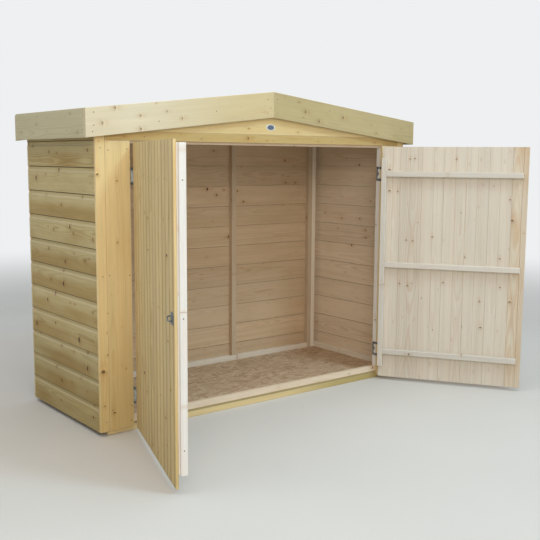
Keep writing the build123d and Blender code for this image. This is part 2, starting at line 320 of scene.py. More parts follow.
def placed(mesh, materials, body, slot, *nodes, sharp=None):
    """Puts a mesh into the scene on its body, in the place of the given solids."""
    for material in materials:
        mesh.materials.append(material)
    if sharp:
        mesh.polygons.foreach_set("use_smooth", [True] * len(mesh.polygons))
        mesh.set_sharp_from_angle(angle=radians(sharp))
    piece = bpy.data.objects.new(mesh.name, mesh)
    bpy.context.scene.collection.objects.link(piece)
    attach(piece, body)
    if nodes:
        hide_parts(*nodes)


# %% [markdown]
# ## Boards that know their grain
# Every board of the store was cut from its own length of timber, so its rings, knots and tone differ from
# its neighbours'. One finish can show that if each board carries its own coordinates: along, across and
# through the board, with a random shift along it. They are stored on the mesh with the board's knots, its
# tone, and marks on its sawn ends and its eased corners, with a painted highlight on shiplap hollows and
# painted shade in door grooves.

# %% A piece of joinery
knots_per_board = 6
no_knot = (-90.0, 0.0, 0.004)
knot_sizes = (0.002, 0.003, 0.0045)


class Joinery:
    """Boards that are fixed together for good, gathered in one mesh."""

    def __init__(self, name):
        self.name = name
        self.dice = random.Random(name)
        self.points, self.faces = [], []
        self.looks, self.ends, self.wear_and_painted_light_marks = [], [], []
        self.grain, self.tone = [], []
        self.knots = [[] for _ in range(knots_per_board)]
        self.boards = 0

    def add(
        self, solid, axes, knots=None, eased=0.0012, ends=True, gap=0.0, soak=None, place=Matrix(),
        look=lambda normal: 0, paler=lambda normal: 0.0,
    ):
        """Eases the solid's corners and adds it as one board; axes are its origin, length, width.

        From a face's normal, look gives the number of its finish, and paler how much paler it is, or
        darker below zero; it carries a painted highlight on shiplap hollows and painted shade in door
        grooves.
        """
        origin, along, across = axes
        through = along.cross(across)
        middle = centre_of(solid)
        for vertex in solid.verts:
            for way in (along, across):
                vertex.co -= way * copysign(gap, (vertex.co - middle).dot(way))
        bmesh.ops.recalc_face_normals(solid, faces=solid.faces[:])
        soft = rounded(solid, eased, 25, None if ends else along)
        solid.verts.index_update()

        ways = [vertex.co - origin for vertex in solid.verts]
        spots = [Vector((away.dot(along), away.dot(across), away.dot(through))) for away in ways]
        lows, highs = (tuple(map(pick, *spots)) for pick in (min, max))
        shift = Vector((self.dice.uniform(0, 40), -(lows[1] + highs[1]) / 2, -lows[2]))
        tone = [self.dice.random() for _ in range(3)]
        if soak is not None:
            tone[1] = soak
        own = self.own_knots(knots, axes, lows, highs)
        own = [(a + shift.x, b + shift.y, size) for a, b, size in own]
        own += [no_knot] * (knots_per_board - len(own))

        first = len(self.points)
        for vertex, spot in zip(solid.verts, spots):
            self.points.append((place @ vertex.co)[:])
            self.grain.extend(spot + shift)
            self.tone.extend(tone)
            for kept, knot in zip(self.knots, own):
                kept.extend(knot)
        for face in solid.faces:
            self.faces.append([first + vertex.index for vertex in face.verts])
            self.looks.append(look(face.normal))
            self.ends.append(float(abs(face.normal.dot(along)) > 0.9))
            self.wear_and_painted_light_marks.append(paler(face.normal) or float(face in soft))
        solid.free()
        self.boards += 1

    def own_knots(self, knots, axes, lows, highs):
        """The listed knots that lie in this board, or a few at random where none are listed."""
        origin, along, across = axes
        if knots is None:
            count = self.dice.randint(1, 2 + int((highs[0] - lows[0]) / 0.4))
            return [
                (*map(self.dice.uniform, lows[:2], highs[:2]), self.dice.choice(knot_sizes))
                for _ in range(min(count, knots_per_board))
            ]
        own = []
        for point, size in knots:
            away = Vector(point) - origin
            a, b = away.dot(along), away.dot(across)
            if lows[0] < a < highs[0] and lows[1] < b < highs[1]:
                own.append((a, b, size))
        return own[:knots_per_board]

    def made(self, materials, body, slot, *nodes):
        """Turns the boards into one object that takes the place of the given solids."""
        mesh = bpy.data.meshes.new(self.name)
        mesh.from_pydata(self.points, [], self.faces)
        vectors = {"grain": self.grain, "tone": self.tone}
        vectors |= {f"knot_{number}": values for number, values in enumerate(self.knots)}
        for name, values in vectors.items():
            mesh.attributes.new(name, "FLOAT_VECTOR", "POINT").data.foreach_set("vector", values)
        for name, values in {"end_grain": self.ends, "wear_and_painted_light": self.wear_and_painted_light_marks}.items():
            mesh.attributes.new(name, "FLOAT", "FACE").data.foreach_set("value", values)
        mesh.polygons.foreach_set("material_index", self.looks)
        placed(mesh, materials, body, slot, *nodes, sharp=18)
        print(self.name, "has", self.boards, "boards")


# %% [markdown]
# ## Boards from the solids
# Posts, rails and battens already have the right shape in the solids. Their meshes are copied,
# never changed: the copy's triangles are joined to whole faces, each separate solid becomes one
# board, and its longest edge gives the direction of the grain.


# %% Copies of the solids
def solids_of(node):
    """The separate solids of a node, each with its flat faces whole."""
    whole = bmesh.new()
    whole.from_mesh(frame["nodes"][node].data)
    bmesh.ops.remove_doubles(whole, verts=whole.verts[:], dist=0.00001)
    bmesh.ops.dissolve_limit(
        whole, angle_limit=radians(0.5), verts=whole.verts[:], edges=whole.edges[:]
    )
    waiting = set(whole.verts)
    solids = []
    while waiting:
        group = {waiting.pop()}
        rim = set(group)
        while rim:
            rim = {edge.other_vert(vertex) for vertex in rim for edge in vertex.link_edges} & waiting
            waiting -= rim
            group |= rim
        solid = bmesh.new()
        twin = {vertex: solid.verts.new(vertex.co) for vertex in whole.verts if vertex in group}
        for face in whole.faces:
            if face.verts[0] in group:
                solid.faces.new([twin[vertex] for vertex in face.verts])
        solids.append(solid)
    whole.free()
    solids.sort(key=lambda solid: tuple(round(value, 4) for value in centre_of(solid)))
    return solids


def axes_of(solid):
    """A board's origin, length and width, from its longest edge and its widest long face."""
    solid.normal_update()
    along = run_of(max(solid.edges, key=lambda edge: round(edge.calc_length(), 5)))
    if max(along, key=abs) < 0:
        along = -along
    sides = [face for face in solid.faces if abs(face.normal.dot(along)) < 0.02]
    widest = max(sides, key=lambda face: round(face.calc_area(), 7))
    return centre_of(solid), along, along.cross(widest.normal)


def timber(node, material, body, slot, knots=None, eased=0.0012, gap=0.0, name="timber"):
    """A node's solids as boards with grain and eased corners."""
    piece = Joinery(f"{node}_{name}")
    for solid in solids_of(node):
        piece.add(solid, axes_of(solid), knots, eased, gap=gap)
    piece.made([material], body, slot, node)


def listed(spots, place, share=0.001):
    """Knots from two measures in millimetres and a size, which share turns into a radius."""
    return [(place(a / 1000, b / 1000), size * share) for a, b, size in spots]


# %% [markdown]
# ## Softwood
# Sawn softwood is pale early wood with darker late wood in rings. A flat board cuts the rings at a slant,
# so they run as long streaks and arches; here they are the distance from a heart line beside the board,
# with slow noise along it. Knots are where a branch grew: the grain flows round them, so the across
# coordinate is bent near each one. Most show as small brown ticks that lie across the board, with painted
# shade on one side and a painted highlight on the other as if they stood in relief, and only the larger
# ones are dark to the middle.

# %% Knots
specks_along, specks_across = 6.0, 15.0
speck_share = 0.16


def nearest_knot(wood, grain, tall):
    """The way from the nearest knot, its radius, and how many radii away it is."""
    wander = wood.noise(grain, (60.0, 90.0, 0.0), 1.0)
    a, b, _ = wood.parts(grain)
    a = a + (wander - 0.5) * 0.006

    def radii_away(run, rise, radius):
        return wood.length(wood.joined(run * 1.2, rise / tall, 0.0)) / radius

    where = wood.vector("MULTIPLY", grain, (specks_along, specks_across, 0.0))
    centres = wood.cells(where, "Position")
    chance, girth, _ = wood.parts(centres.beside("Color"))
    off = wood.vector("SUBTRACT", where, centres)
    run, rise, _ = wood.parts(wood.vector("MULTIPLY", off, (1 / specks_along, 1 / specks_across, 0.0)))
    radius = 0.0009 + girth * 0.0012
    nearest = wood.joined(run, rise, radius)
    distance = radii_away(run, rise, radius) + (chance > speck_share) * 60
    for number in range(knots_per_board):
        knot_a, knot_b, radius = wood.parts(wood.carried(f"knot_{number}"))
        run, rise = a - knot_a, b - knot_b
        gap = radii_away(run, rise, radius)
        nearest = wood.nearer(gap < distance, nearest, wood.joined(run, rise, radius))
        distance = wood.sum("MINIMUM", distance, gap)
    return nearest, distance


# %% [markdown]
# Pressure treatment leaves a green or honey tint in patches, and on the cladding a brown one that gathers
# in the lower half of a board. Boards that were cut after it have pale ends. Painted shade darkens the
# cladding, the doors and the trim towards the ground, and the hollow under each lip of the shiplap.

# %% The recipe for softwood
ring_spacing = 0.0042


def softwood(
    name, pale, ring, stain, stained=0.4, rings=0.5, sunk=0.0, lap=None, tall=1.3, streaked=0.26,
    sawn=(0.5, 0.4, 0.24, 1), knotty=0.75, painted_low_shade=0.0, pith=0.0, paler_leftward_and_painted_light=None,
):
    """A finish for boards from its pale wood, its late wood and its stain; the rest are shares."""
    wood = Finish(name)
    grain = wood.carried("grain")
    light, warm, heart = wood.parts(wood.carried("tone"))
    a, b, c = wood.parts(grain)
    nearest, distance = nearest_knot(wood, grain, tall)
    run, rise, radius = wood.parts(nearest)

    # Rings, bent round the nearest knot
    bending = run * run * 0.12 + rise * rise + radius * radius
    bent = b - rise * (radius * radius / bending) * 1.3
    slow = wood.noise(grain, (1.1, 3.0, 3.0))
    shaky = wood.noise(grain, (9.0, 50.0, 50.0))
    side = bent + (heart - 0.5) * 0.07
    depth = c + 0.022 + warm * 0.06
    out = wood.sum("SQRT", side * side + depth * depth) + slow * 0.05 + shaky * 0.0022
    phase = wood.sum("FRACT", out / ring_spacing)
    late = wood.ease(phase, 0.2, 0.85) * (1 - wood.ease(phase, 0.9, 1.0))
    bands = wood.noise(wood.joined(out, 0.0, heart * 9), (70.0, 1.0, 1.0))
    late = late * wood.ease(bands, 0.25, 0.75)

    # Streaks and stains
    streaks = wood.noise(grain, (1.6, 60.0, 60.0), 3.0, 0.6)
    fibres = wood.noise(grain, (30.0, 1100.0, 1100.0), 2.0, 0.6)
    patches = wood.noise(grain, (4.0, 13.0, 13.0), 3.0, 0.6)
    soaked = wood.noise(grain, (2.2, 5.0, 5.0))
    colour = wood.mix(late * rings, pale, ring)
    colour = wood.mix(wood.ease(patches * 0.7 + streaks * 0.3, 0.42, 0.72) * stained, colour, stain)
    low = wood.ease(0.02 - b, 0.0, 0.04) * wood.ease(soaked * 0.7 + warm * 0.5, 0.42, 0.7)
    colour = wood.tinted(low * sunk, colour, (0.72, 0.57, 0.36, 1))
    if pith:
        middle = wood.sum("ABSOLUTE", b + (light - 0.5) * 0.026 + (slow - 0.5) * 0.01)
        line = (1 - wood.ease(middle, 0.0004, 0.0016)) * wood.ease(streaks + warm * 0.3, 0.35, 0.6)
        colour = wood.tinted(line * pith, colour, (0.55, 0.36, 0.22, 1))
    leftward, _, height_up = wood.parts(wood.place())
    # Paler towards the left: painted light on the front left bargeboard, while the bearer only grows
    # paler towards its left end.
    if paler_leftward_and_painted_light:
        start, end, paler = paler_leftward_and_painted_light
        colour = wood.mix(wood.ease(patches * 0.1 - leftward, start, end) * 0.8, colour, paler)
    # Painted shade that darkens the board towards the ground.
    if painted_low_shade:
        low_shade_mask = 1 - wood.ease(height_up + patches * 0.2, 0.05, 0.75)
        colour = wood.tinted(low_shade_mask * painted_low_shade, colour, (0.66, 0.6, 0.42, 1))
    colour = wood.lit(colour, 0.83 + (streaks - 0.5) * streaked + fibres * 0.14 + light * 0.12)

    # Knots with painted relief highlight and shade, sawn ends, rubbed corners, painted cove highlight and
    # painted groove shade
    glow = run * run / (radius * radius * 30) + rise * rise / (radius * radius * 6)
    glow = wood.sum("EXPONENT", 0 - glow)
    colour = wood.tinted(glow * 0.35, colour, (0.7, 0.48, 0.28, 1))
    # Painted highlight on one side of each knot and painted shade on the other, as if it stood in relief.
    painted_relief_side = run / radius
    colour = wood.lit(colour, 1 + painted_relief_side * wood.sum("EXPONENT", 0 - distance * distance * 0.3) * 0.26)
    core = 1 - wood.ease(distance, 0.6, 1.2)
    dark = wood.mix(wood.ease(radius, 0.0025, 0.006), shade(128, 86, 46), shade(78, 54, 36))
    colour = wood.mix(core * knotty, colour, dark)
    # A dark crescent of painted shade at the knot's rim, on its shaded side.
    rim_crescent_shade = wood.ease(distance, 0.55, 0.85) * (1 - wood.ease(distance, 0.95, 1.3))
    colour = wood.tinted(rim_crescent_shade * wood.ease(0 - painted_relief_side, 0.0, 0.7) * 0.8, colour, (0.3, 0.2, 0.12, 1))
    colour = wood.mix(wood.carried("end_grain", "Fac") * 0.7, colour, sawn)
    # Paler on rubbed corners, which is wear, and on shiplap hollows, which is painted highlight; darker
    # in door grooves, which is painted shade with some dirt.
    wear_and_painted_light = wood.carried("wear_and_painted_light", "Fac")
    colour = wood.mix(wear_and_painted_light * 0.25, colour, (0.8, 0.72, 0.54, 1))
    colour = wood.tinted(0 - wear_and_painted_light * 0.6, colour, (0.25, 0.18, 0.11, 1))
    # Painted shade in the hollow under the next board's lip, from this height across the board upwards.
    if lap is not None:
        colour = wood.tinted(wood.ease(b, lap, lap + 0.003) * 0.92, colour, (0.14, 0.1, 0.06, 1))

    rough = 0.78 - late * 0.08 + fibres * 0.12 - core * 0.12
    height = late * 0.00012 + fibres * 0.00016 - core * 0.00015 + shaky * 0.0001
    return wood.ended(wood.shader(colour, rough, height, specular=0.3))


# %% [markdown]
# Each kind of board gets its own pale wood, late wood and stain. The cladding is olive, the trim is
# golden, the bargeboards are nearly cream, and the planed timber inside is pale and a little pink.
# The bearer grows paler towards its left end, and the front left bargeboard towards the left too, where
# the paler end is painted light.

# %% Finishes for the timber
woods = {}
planed = dict(stained=0.3, rings=0.35)
for name, (pale, ring, stain, shares) in {
    "treated_wall": (
        (197, 180, 132), (158, 136, 85), (164, 138, 80),
        dict(rings=0.6, sunk=0.7, lap=0.0505, tall=1.6, sawn=shade(206, 190, 146), knotty=0.95, painted_low_shade=0.5),
    ),
    "treated_door": (
        (227, 203, 151), (171, 142, 89), (191, 164, 103),
        dict(rings=0.7, tall=2.0, streaked=0.45, knotty=0.95, painted_low_shade=0.3),
    ),
    "golden_trim": ((236, 211, 156), (214, 176, 110), (222, 186, 120), dict(painted_low_shade=0.6)),
    # The gable and the header are one golden board in two copies: the gable's is paler, painted light
    # where the bargeboard shades it, and the header's is darker, painted shade.
    "gable": ((230, 205, 148), (206, 167, 99), (218, 181, 113), dict(stained=0.5)),
    "header_painted_shade": ((200, 172, 113), (179, 142, 77), (189, 151, 87), dict(stained=0.5)),
    "bearer": (
        (190, 170, 112), (156, 132, 76), (166, 142, 82), dict(paler_leftward_and_painted_light=(-0.5, 0.0, shade(228, 202, 150))),
    ),
    # Its paler left end is painted light.
    "pale_bargeboard": (
        (213, 193, 147), (194, 168, 114), (196, 173, 118),
        dict(knotty=0.5, paler_leftward_and_painted_light=(0.15, 0.85, shade(228, 215, 184))),
    ),
    "olive_bargeboard": ((192, 174, 128), (164, 140, 92), (172, 154, 100), dict(knotty=0.6)),
    "green_fascia": ((194, 184, 150), (168, 156, 118), (176, 166, 128), dict(knotty=0.5)),
    "planed_frame": ((235, 223, 203), (208, 180, 148), (220, 202, 174), planed),
    "stud": ((204, 182, 152), (176, 144, 112), (188, 160, 126), planed),
    "ledge": ((216, 208, 194), (204, 182, 158), (212, 198, 176), planed),
    "pale_batten": (
        (238, 234, 224), (226, 196, 172), (233, 214, 197), dict(stained=0.45, rings=0.4, knotty=0.3),
    ),
    "door_inside": (
        (221, 209, 190), (202, 171, 139), (213, 197, 170),
        dict(stained=0.3, rings=0.4, tall=1.6, knotty=0.85, pith=0.45),
    ),
    "door_edge": (
        (214, 200, 176), (182, 130, 84), (196, 158, 112), dict(stained=0.6, rings=0.7, pith=0.9),
    ),
    "wall_inside": ((213, 185, 149), (176, 135, 94), (191, 157, 115), dict(knotty=0.95)),
    "pale_inside": ((232, 212, 184), (200, 164, 126), (214, 190, 154), dict(knotty=0.9)),
    # Painted shade under the roof: far darker than the other inside wood.
    "shaded_roof_inside": ((138, 98, 54), (110, 72, 36), (124, 86, 44), {}),
}.items():
    woods[name] = softwood(name + "_wood", shade(*pale), shade(*ring), shade(*stain), **shares)
print(len(woods), "softwood finishes")

# %% [markdown]
# ## Shiplap boards
# A shiplap board is flat with a hollow along its top edge, and the next board's lip hangs over that
# hollow, so rain runs down without getting in. A tongue behind the lip closes the joint. Each board
# is drawn once in section, as depth out from the frame and height, and then run along its wall.

# %% The section of a shiplap board
board_cover = 0.1158
lowest_joint = 0.1377
wall_foot = 0.019
cladding = 0.012
scoop = 0.024
tongue_back, tongue_face = 0.0035, 0.007
groove_back, groove_face, groove_head = 0.0033, 0.0072, 0.006


def hollow(start, through, end, steps=7):
    """Points on the smooth curve from start to end that passes through a middle point."""
    pull = [2 * m - (s + e) / 2 for s, m, e in zip(start, through, end)]
    curve = []
    for step in range(1, steps + 1):
        t = step / steps
        parts = zip(start, pull, end)
        curve.append(tuple((1 - t) ** 2 * s + 2 * t * (1 - t) * p + t * t * e for s, p, e in parts))
    return curve


def shiplap(bottom, top, foot, head, inner_top):
    """One board in section; foot and head are true for the lowest and the highest one."""
    section = [(0, bottom), (cladding, bottom)]
    if not foot:
        section = [
            (0, bottom - 0.001), (groove_back, bottom - 0.001), (groove_back, bottom + groove_head),
            (groove_face, bottom + groove_head), (groove_face, bottom), (cladding, bottom),
        ]
    if head:
        return section + [(cladding, top), (0, inner_top)]
    section.append((cladding, top - scoop))
    section += hollow((cladding, top - scoop), (0.0086, top - 0.0195), (tongue_face, top - 0.011))
    return section + [
        (tongue_face, top + 0.005), (tongue_back, top + 0.005), (tongue_back, top - 0.0026),
        (0, top - 0.0026),
    ]


def prism(outline, travel):
    """A solid with the same outline all along."""
    solid = bmesh.new()
    near = [solid.verts.new(point) for point in outline]
    far = [solid.verts.new(Vector(point) + Vector(travel)) for point in outline]
    solid.faces.new(near)
    solid.faces.new(far[::-1])
    for index in range(len(near)):
        after = (index + 1) % len(near)
        solid.faces.new((near[index], far[index], far[after], near[after]))
    return solid


def board_heights(wall_top):
    """The bottom and top of each board of a wall."""
    joints = [wall_foot, lowest_joint]
    while joints[-1] + board_cover < wall_top - scoop:
        joints.append(joints[-1] + board_cover)
    return list(zip(joints, joints[1:] + [wall_top]))


def cut(solid, point, outward):
    """Saws off what lies outside a plane, and closes the cut."""
    everything = solid.verts[:] + solid.edges[:] + solid.faces[:]
    bmesh.ops.bisect_plane(
        solid, geom=everything, plane_co=point, plane_no=outward, clear_outer=True, dist=0.000001
    )
    rim = [edge for edge in solid.edges if edge.is_boundary]
    if rim:
        bmesh.ops.holes_fill(solid, edges=rim, sides=0)


print(len(shiplap(0, board_cover, False, False, 0)), "corners in the section of a board")

# %% [markdown]
# ## Side and back walls
# The side walls run between the front trim and the back wall, and the back wall covers their ends.
# Treatment reaches the outside only, so a board has one finish outside and a paler, redder one inside.
# The larger knots and the side walls' stains are listed, and the small knots fall by chance.

# %% The side walls
left_wall_knots = [
    (-290, 1252, 3), (23, 1240, 2), (112, 1245.5, 3), (303, 1274.5, 3), (15, 1163, 4), (153, 1142, 2),
    (268, 1122, 5), (-224, 1049, 3), (-10, 1006, 3), (158, 1044.5, 2), (-97, 911, 4), (-130, 884, 3),
    (80, 888, 3), (-324, 870, 3), (143, 897, 2), (-244, 773, 3), (-283, 784, 2), (-133, 793, 2),
    (-38, 747, 4), (143, 793, 3), (-10, 702, 3), (-13, 643, 5), (126, 647, 3), (88, 584, 4),
    (-310, 552, 3), (-125, 561, 2), (-81, 561, 2), (172, 543, 4), (-165, 404, 6), (90, 441, 3),
    (312, 406, 5), (-242, 358, 3), (26, 343, 3), (-106, 338, 2), (-244, 288, 5), (276, 365, 3),
    (-174, 229, 2), (90, 231, 3), (35, 173, 3), (-78, 188, 2), (-292, 74.5, 3), (44, 74.5, 2),
    (-297, 129, 2),
]
right_wall_knots = [
    (-28, 1186, 4), (-130, 979, 2), (115, 864, 3), (-41, 871, 3), (147, 802, 2), (-89, 806, 3),
    (-93, 764, 3), (24, 709, 4), (265, 891, 3),
]
wall_front, wall_back = -0.3515, 0.3515
wall_inner, wall_outer = 0.925, 0.937
side_top, side_inner_top = 1.41401, 1.4154
wall_easing = 0.0007
sunk_stains = [0.4, 0.6, 0.4, 0.6, 0.4, 0.9, 1.0, 0.35, 0.75, 0.0, 0.5, 0.4]


def cove_painted_highlight(normal):
    """Painted highlight: the upward faces of a board's hollow are made paler, as if lit from above."""
    return 0.7 if normal.z > 0.25 else 0.0


def side_wall(node, side, knots, size, inside, soaked):
    """A side wall; side is 1 on the right and -1 on the left."""
    piece = Joinery(node + "_shiplap")
    places = listed(knots, lambda y, z: (side * wall_inner, y, z), size)
    heights = board_heights(side_top)
    for number, (bottom, top) in enumerate(heights):
        section = shiplap(bottom, top, number == 0, number == len(heights) - 1, side_inner_top)
        outline = [(side * (wall_inner + depth), wall_front, height) for depth, height in section]
        solid = prism(outline, (0, wall_back - wall_front, 0))
        axes = Vector((side * wall_inner, wall_front, bottom)), Vector((0, 1, 0)), Vector((0, 0, 1))
        inner = lambda normal: int(normal.x * side < -0.5)
        piece.add(
            solid, axes, places, wall_easing, ends=False, soak=soaked[number], look=inner, paler=cove_painted_highlight
        )
    piece.made([woods["treated_wall"], inside], "store", "treated_wood", node)


side_wall("left_wall_boards", -1, left_wall_knots, 0.0015, woods["wall_inside"], sunk_stains)
side_wall("right_wall_boards", 1, right_wall_knots, 0.0013, woods["pale_inside"], sunk_stains[::-1])

# %% [markdown]
# The back wall runs up to the ridge, so its top boards are made full length and then sawn off along
# both slopes of the roof.

# %% The back wall
back_wall_knots = [
    (155, 1262, 3), (110, 1047, 5), (225, 1040, 3), (175, 1012, 4), (320, 1033, 3), (365, 970, 4),
    (675, 1210, 4), (748, 1174, 2), (658, 1122, 2), (682, 1075, 3), (758, 1075, 3), (255, 770, 4),
    (-300, 600, 4), (-620, 860, 4), (-550, 1200, 3),
]
roof_slope = 0.1157
ridge_under = 1.52241
lowest_slanted = 1.38

back_wall = Joinery("back_wall_boards_shiplap")
back_places = listed(back_wall_knots, lambda x, z: (x, wall_back, z), 0.0013)
back_heights = board_heights(ridge_under)
for number, (bottom, top) in enumerate(back_heights):
    section = shiplap(bottom, top, number == 0, number == len(back_heights) - 1, top)
    outline = [(-wall_outer, wall_back + depth, height) for depth, height in section]
    solid = prism(outline, (2 * wall_outer, 0, 0))
    if top > lowest_slanted:
        for side in (1, -1):
            cut(solid, (0, 0, ridge_under), (side * roof_slope, 0, 1))
    axes = Vector((0, wall_back, bottom)), Vector((1, 0, 0)), Vector((0, 0, 1))
    inner = lambda normal: int(normal.y < -0.5)
    back_wall.add(solid, axes, back_places, wall_easing, ends=False, look=inner, paler=cove_painted_highlight)
back_finishes = [woods["treated_wall"], woods["wall_inside"]]
back_wall.made(back_finishes, "store", "treated_wood", "back_wall_boards")

# %% [markdown]
# ## Frame and floor
# The frame is planed softwood, 28 millimetres square, and pale because it isn't treated as deeply
# as the cladding. The studs and the roof's timbers are the darker ones. The bearers under the floor
# are sawn and treated.

# %% The frame
for wood, nodes in {
    "pale_batten": ["front_posts"],
    "pale_inside": ["sill_rail"],
    "planed_frame": ["back_corner_posts", "side_wall_rails", "back_wall_rails", "front_short_rails"],
    "stud": [
        "back_wall_posts", "head_rail", "ridge_beam", "gable_rafters", "roof_purlins",
        "eaves_battens", "rake_battens",
    ],
}.items():
    for node in nodes:
        timber(node, woods[wood], "store", "pale_wood")
timber("floor_bearers", woods["bearer"], "store", "trim_wood", eased=0.0015)

# %% [markdown]
# ## Floor board
# The floor is oriented strand board: wide thin flakes pressed together, most of them along the
# sheet. Five layers of stretched cells, each turned another way, stand for the flakes, and at each
# point the flake that was pressed in last shows. Its edge is a fine dark line.

# %% Strand board
flakes_in_a_metre = (14.0, 68.0, 0.0)
flake_turns = (0.12, 0.55, -0.4, 1.7, 2.95)


def strand_board(name):
    board = Finish(name)
    grain = board.carried("grain")
    facing = board.node("ShaderNodeNewGeometry", {}, {}, "True Normal")
    _, _, upward = board.parts(facing)
    best, tone, rim = 0.0, 0.5, 1.0
    for number, angle in enumerate(flake_turns):
        turn = {"Vector": grain, "Angle": angle}
        turned = board.node("ShaderNodeVectorRotate", {"rotation_type": "Z_AXIS"}, turn)
        bent = board.noise(turned, (25.0, 25.0, 0.0), 1.0)
        where = board.vector("MULTIPLY", turned, flakes_in_a_metre)
        where = board.vector("ADD", where, board.joined(bent * 0.5 + number * 7, bent, 0.0))
        pressed, look, _ = board.parts(board.cells(where, "Color"))
        edge = board.cells(where, "Distance", feature="DISTANCE_TO_EDGE")
        above = board.sum("GREATER_THAN", pressed, best)
        tone = above * look + (1 - above) * tone
        rim = above * edge + (1 - above) * rim
        best = board.sum("MAXIMUM", pressed, best)
    fibres = board.noise(grain, (260.0, 700.0, 1.0))
    patches = board.noise(grain, (5.0, 5.0, 1.0))
    colour = board.mix(tone, shade(181, 151, 118), shade(207, 182, 149))
    colour = board.mix(board.ease(0.14 - tone, 0.0, 0.1) * 0.25, colour, shade(124, 94, 64))
    colour = board.lit(colour, 0.82 + fibres * 0.2 + patches * 0.16)
    colour = board.tinted((1 - board.ease(rim, 0.0, 0.06)) * 0.55, colour, (0.42, 0.3, 0.18, 1))
    layers = board.noise(grain, (20.0, 20.0, 900.0))
    edge_colour = board.mix(layers, shade(150, 128, 80), shade(190, 170, 120))
    colour = board.mix(1 - board.ease(upward, 0.3, 0.7), colour, edge_colour)
    height = best * 0.0002 + fibres * 0.00008 + board.ease(rim, 0.0, 0.08) * 0.0001
    return board.ended(board.shader(colour, 0.7 + fibres * 0.2, height, specular=0.3))


timber("floor_deck", strand_board("strand_board"), "store", "floor_board", eased=0.0008)

# %% [markdown]
# ## Trim on the front
# Two wide pilasters and two narrow corner strips cover the frame beside the doorway, with a header and a
# gable board over it. These boards are golden, with few knots, and lighter at the corners. The gable is
# made paler with painted light, and the header darker with painted shade.

# %% The front trim
front_knots = [
    (-929, 1152, 5), (-837, 1125, 3), (-839, 858, 3), (-895, 368, 4), (-919, 295, 8), (-807, 295, 2),
    (-870, 103, 4), (-865, 101, 3), (-915, 140, 3), (-797, 1313, 2), (-130, 1362, 3), (-133, 1316, 5),
    (-20, 1307, 2), (-400, 1308, 2), (177, 1352, 3), (310, 1308, 2), (719, 1310, 3), (830, 1020, 4),
    (800, 520, 5), (920, 770, 4),
]
trim_face = -0.3635
trim_places = listed(front_knots, lambda x, z: (x, trim_face, z))
for node, wood, gap in (
    ("pilasters", "golden_trim", 0.0005),
    ("front_corner_strips", "golden_trim", 0.0005),
    ("header_board", "header_painted_shade", 0.0003),
    ("gable_board", "gable", 0.0003),
):
    timber(node, woods[wood], "store", "trim_wood", trim_places, gap=gap)

# %% [markdown]
# ## Bargeboards and fascias
# Deep boards close the edges of the roof. The front left one is the palest of the whole store, with
# painted light that makes its left end paler still, and the right one is greener, so they get a finish
# each, and the rear ones repeat the side fascias.

# %% The boards round the roof
left_barge_knots = [
    (-851, 1430, 5), (-911, 1365, 5), (-729, 1402, 4), (-729, 1345, 5), (-597, 1425, 3),
    (-519, 1397, 4), (-272, 1484, 3), (-255, 1448, 3), (-209, 1417, 2), (-142, 1500, 2),
]
right_barge_knots = [
    (160, 1498, 3), (203, 1452, 5), (187, 1424, 2), (293, 1408, 5), (457, 1432, 5), (700, 1358, 3),
    (712, 1385, 4), (950, 1333, 5),
]
fascia_knots = [(-240, 1405, 3), (-310, 1325, 3), (120, 1370, 3), (300, 1340, 3)]
barge_place = lambda x, z: (x, -0.39, z)
for node, wood, knots in (
    ("front_left_bargeboard", "pale_bargeboard", listed(left_barge_knots, barge_place)),
    ("front_right_bargeboard", "olive_bargeboard", listed(right_barge_knots, barge_place)),
    ("rear_left_bargeboard", "green_fascia", None),
    ("rear_right_bargeboard", "green_fascia", None),
    ("left_fascia", "green_fascia", listed(fascia_knots, lambda y, z: (-0.99, y, z))),
    ("right_fascia", "green_fascia", None),
):
    timber(node, woods[wood], "store", "treated_wood", knots, eased=0.0018, gap=0.0003)

# %% [markdown]
# ## Roof boards and felt
# The roof is boarded from ridge to eaves with boards a hand wide. Each half of the deck is one solid,
# so it is sawn into eight boards here, and each of them has its own grain.

# %% The roof boards
boards_across_roof = 8
for node in ("right_roof_deck", "left_roof_deck"):
    low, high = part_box(node)
    width = (high.y - low.y) / boards_across_roof
    deck = Joinery(node + "_boards")
    for number in range(boards_across_roof):
        solid = solids_of(node)[0]
        start = low.y + number * width
        cut(solid, (0, start, 0), (0, -1, 0))
        cut(solid, (0, start + width, 0), (0, 1, 0))
        deck.add(solid, axes_of(solid), ends=False)
    deck.made([woods["shaded_roof_inside"]], "store", "inner_wood", node)

# %% [markdown]
# Mineral felt is a bitumen sheet with crushed slate pressed into it. It reads as a dark green grey
# with a rough sparkle, so its finish is a layer of small cells with their own tones, and patches
# over them.


# %% Mineral felt
def mineral_felt(name):
    felt = Finish(name)
    grain = felt.carried("grain")
    where = felt.vector("MULTIPLY", grain, (520.0, 520.0, 520.0))
    chips = felt.cells(where, "Color", voronoi_dimensions="3D")
    size = chips.beside("Distance")
    chip_tone, chip_hue, _ = felt.parts(chips)
    patches = felt.noise(grain, (6.0, 6.0, 6.0), 4.0, 0.6)
    bands = felt.noise(grain, (0.8, 26.0, 1.0))
    dull = felt.mix(chip_tone, shade(54, 56, 49), shade(110, 111, 96))
    colour = felt.mix(felt.ease(chip_hue, 0.86, 0.95) * 0.6, dull, shade(150, 152, 140))
    colour = felt.lit(colour, 0.72 + patches * 0.36 + bands * 0.14)
    colour = felt.tinted(felt.carried("end_grain", "Fac") * 0.7, colour, (0.35, 0.35, 0.35, 1))
    height = (1 - size) * 0.0005 + patches * 0.0012
    return felt.ended(felt.shader(colour, 0.86 + chip_tone * 0.1, height, specular=0.3))


